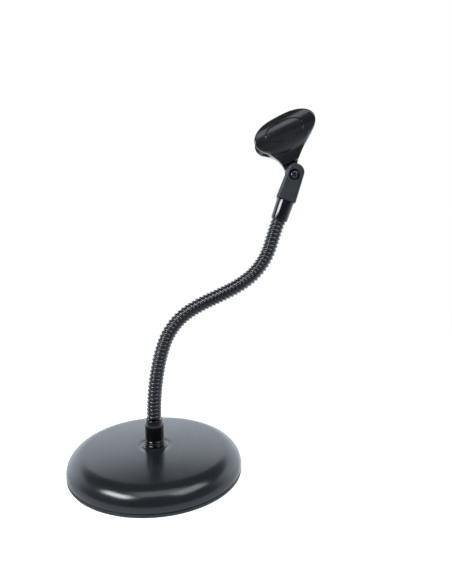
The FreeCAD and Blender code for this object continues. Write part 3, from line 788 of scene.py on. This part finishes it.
def clip_field(p):
    """Round jaw trimmed to an ellipse, with a grooved pad on each side, a web and a tongue."""
    u, y, v = p.T
    pivot_u, pivot_v = pivot_in_jaw()
    bore_r = mounts["microphone_clamp"]["dims"]["r_mm"]
    radial = np.hypot(y, v)
    lean = math.radians(PAD_TURN)
    pad_x, pad_z = u * math.cos(lean) + v * math.sin(lean), v * math.cos(lean) - u * math.sin(lean)
    off_pad = ellipse_distance(pad_x, pad_z, PAD_LONG, PAD_SHORT)
    bulge = PAD_BULGE * (1 - np.clip(np.hypot(pad_x / PAD_LONG, pad_z / PAD_SHORT), 0, 1) ** 2)
    groove = GROOVE_DEPTH * np.clip(1 - (off_pad / GROOVE_HALF) ** 2, 0, 1)
    skin = radial - JAW_R - bulge + groove
    trim = ellipse_distance(u - JAW_AHEAD, v + JAW_BELOW, JAW_HALF_LENGTH, JAW_HALF_HEIGHT)
    jaw = keep_round(skin, trim, 1.6)
    left, right, half = eased(WEB_LEFT, 2.0), eased(WEB_RIGHT, 2.2), eased(WEB_HALF, 0.6)
    slope_left = left(v + 0.5) - left(v - 0.5)
    slope_right = right(v + 0.5) - right(v - 0.5)
    off_left = (left(v) - u) / np.hypot(1, slope_left)
    off_right = (u - right(v)) / np.hypot(1, slope_right)
    web = keep_round(keep_round(off_left, off_right, 1.0), (np.abs(y) - half(v)) * 0.9, 1.3)
    web = keep_round(keep_round(web, pivot_v - v, 0.1), v - WEB_TOP, 2.0)
    eye = keep_round(np.hypot(u - pivot_u, v - pivot_v) - TONGUE_R, np.abs(y) - TONGUE_HALF, 0.5)
    body = join_round(jaw, join_round(web, eye, 1.5), 4.0)
    body = cut_round(body, radial - bore_r, 0.7)
    body = cut_round(body, np.maximum(np.abs(y) - JAW_GAP_HALF, -v), 1.2)
    return cut_round(body, np.hypot(u - pivot_u, v - pivot_v) - PIN_HOLE_R, 0.2)


def mic_clip():
    jaw_middle = mounts["microphone_clamp"]["pos_m"]
    _, pivot_v = pivot_in_jaw()
    piece = field_piece("mic_clip_body", clip_field,
                        (-JAW_HALF_LENGTH - 1.5, -JAW_R - 2, pivot_v - TONGUE_R - 1),
                        (JAW_HALF_LENGTH + 1.5, JAW_R + 2, JAW_HALF_HEIGHT + 1), CLIP_CELL,
                        MATERIALS["clip_plastic"], jaw_middle, clip_frame())
    assign(piece, "clip", "mic_clip")


# --- CAD nodes that stay as they are ------------------------------------------------------------
def dress_cad_nodes():
    slots = {s["node"]: s["material_slot"] for s in frame["record"]["subparts"]}
    for name, node in frame["nodes"].items():
        node.data.materials.clear()
        node.data.materials.append(MATERIALS[slots[name]])


# --- studio -------------------------------------------------------------------------------------
def camera_axes():
    """Camera's right, up and forward directions."""
    heading, pitch = math.radians(CAMERA_HEADING), math.radians(CAMERA_PITCH)
    forward = Vector((math.sin(heading) * math.cos(pitch), math.cos(heading) * math.cos(pitch),
                      -math.sin(pitch)))
    level = Vector((math.cos(heading), -math.sin(heading), 0))
    right = Matrix.Rotation(math.radians(CAMERA_ROLL), 3, forward) @ level
    return right, right.cross(forward), forward


def toward(azimuth, elevation):
    """Direction from the object: azimuth 0 is towards the camera, 90 is its right-hand side."""
    heading, a, e = math.radians(CAMERA_HEADING), math.radians(azimuth), math.radians(elevation)
    front = Vector((-math.sin(heading), -math.cos(heading), 0))
    right = Vector((math.cos(heading), -math.sin(heading), 0))
    return (front * math.cos(a) + right * math.sin(a)) * math.cos(e) + Vector((0, 0, math.sin(e)))


def add_camera():
    camera = bpy.data.objects.new("camera", bpy.data.cameras.new("camera"))
    bpy.context.scene.collection.objects.link(camera)
    right, up, forward = camera_axes()
    turn = Matrix((right, up, -forward)).transposed()
    camera.matrix_world = Matrix.Translation(CAMERA_PLACE) @ turn.to_4x4()
    camera.data.lens = CAMERA_LENS
    camera.data.clip_start, camera.data.clip_end = 0.01, 20
    bpy.context.scene.camera = camera


def softbox(name, azimuth, elevation, distance, width, height, radiance):
    """Rectangular light in the given direction, facing the base."""
    light = bpy.data.lights.new(name, "AREA")
    light.shape, light.size, light.size_y = "RECTANGLE", width, height
    light.energy = radiance * math.pi * width * height
    light.color = LIGHT_COLOUR
    lamp = bpy.data.objects.new(name, light)
    bpy.context.scene.collection.objects.link(lamp)
    way = toward(azimuth, elevation)
    lamp.location = Vector((0, 0, AIM_HEIGHT)) + way * distance
    lamp.rotation_mode = "QUATERNION"
    lamp.rotation_quaternion = way.to_track_quat("Z", "Y")
    lamp.visible_camera = False


def build_world():
    """White to the camera; to the object a bright low backdrop behind and a dark room above."""
    world = bpy.data.worlds.new("studio")
    world.use_nodes = True
    bpy.context.scene.world = world
    g = Graph(world.node_tree)
    direction = g.add("TexCoord").outputs["Generated"]
    height = g.add("SeparateXYZ", {0: direction}).outputs[2]
    behind = g.away_from_camera(direction)
    front = g.spread(behind, -0.95, -0.35, FRONT_WALL, SIDE_WALL)
    back = g.spread(behind, -0.2, 0.55, 0.0, BACKDROP - SIDE_WALL)
    wall = g.math("ADD", front, back)
    fade_low, fade_high = (math.sin(math.radians(angle)) for angle in BACKDROP_FADE)
    low = g.spread(height, fade_low, fade_high, 1.0, 0.0)
    glow = g.math("ADD", g.math("MULTIPLY", wall, low), CEILING)
    room = g.add("Background", {"Color": ROOM_TINT, "Strength": glow})
    white = g.add("Background", {"Color": WHITE, "Strength": 1.0})
    seen = g.add("LightPath").outputs["Is Camera Ray"]
    mix = g.add("MixShader", {0: seen, 1: room.outputs[0], 2: white.outputs[0]})
    g.add("OutputWorld", {"Surface": mix.outputs[0]})


def floor_material():
    """White paint to the camera; to the object a table top that is brightest behind it."""
    material = bpy.data.materials.new("floor")
    material.use_nodes = True
    g = Graph(material.node_tree)
    seen = g.add("LightPath").outputs["Is Camera Ray"]
    place = g.add("TexCoord").outputs["Object"]
    away = g.add("VectorMath", {0: place}, operation="LENGTH").outputs["Value"]
    paint = g.add("BsdfDiffuse", {"Color": (0.9, 0.9, 0.9, 1)})
    lift = g.add("Emission", {"Color": WHITE, "Strength": 0.6})
    lit = g.add("AddShader", {0: paint.outputs[0], 1: lift.outputs[0]})
    clear = g.add("Emission", {"Color": WHITE, "Strength": 1.0})
    top = g.add("MixShader", {0: g.spread(away, 0.35, 0.9, 0.0, 1.0), 1: lit.outputs[0],
                              2: clear.outputs[0]})
    way = g.add("VectorMath", {0: place}, operation="NORMALIZE").outputs[0]
    front = g.spread(away, 0.12, 0.3, FLOOR_NEAR, FLOOR_FRONT)
    glow = g.spread(g.away_from_camera(way), -0.6, 0.5, front, FLOOR_BEHIND)
    reflected = g.add("Emission", {"Color": ROOM_TINT, "Strength": glow})
    mix = g.add("MixShader", {0: seen, 1: reflected.outputs[0], 2: top.outputs[0]})
    g.add("OutputMaterial", {"Surface": mix.outputs[0]})
    return material


def build_floor():
    """Round white table top that fades into the background before its edge."""
    rings = np.linspace(FLOOR_HOLE_R, FLOOR_R, FLOOR_RINGS)
    angle = np.arange(FLOOR_SIDES) * 2 * math.pi / FLOOR_SIDES
    points = np.array([(r * math.cos(a), r * math.sin(a), -FLOOR_DROP)
                       for r in rings for a in angle])
    j = np.arange(FLOOR_SIDES)
    beside = (j + 1) % FLOOR_SIDES
    starts = np.arange(FLOOR_RINGS - 1) * FLOOR_SIDES
    faces = np.concatenate([np.stack([i + j, i + FLOOR_SIDES + j, i + FLOOR_SIDES + beside,
                                      i + beside], -1) for i in starts])
    floor = new_piece("floor", points, faces, floor_material())


def main():
    dress_cad_nodes()
    base_cover()
    rubber_foot()
    lock_ring()
    lower_sleeve()
    gooseneck()
    upper_sleeve()
    swivel()
    pivot_screw()
    mic_clip()
    add_camera()
    for name, settings in SOFTBOXES.items():
        softbox(name, *settings)
    build_world()
    build_floor()
    bpy.context.scene.view_settings.view_transform = "Standard"


main()
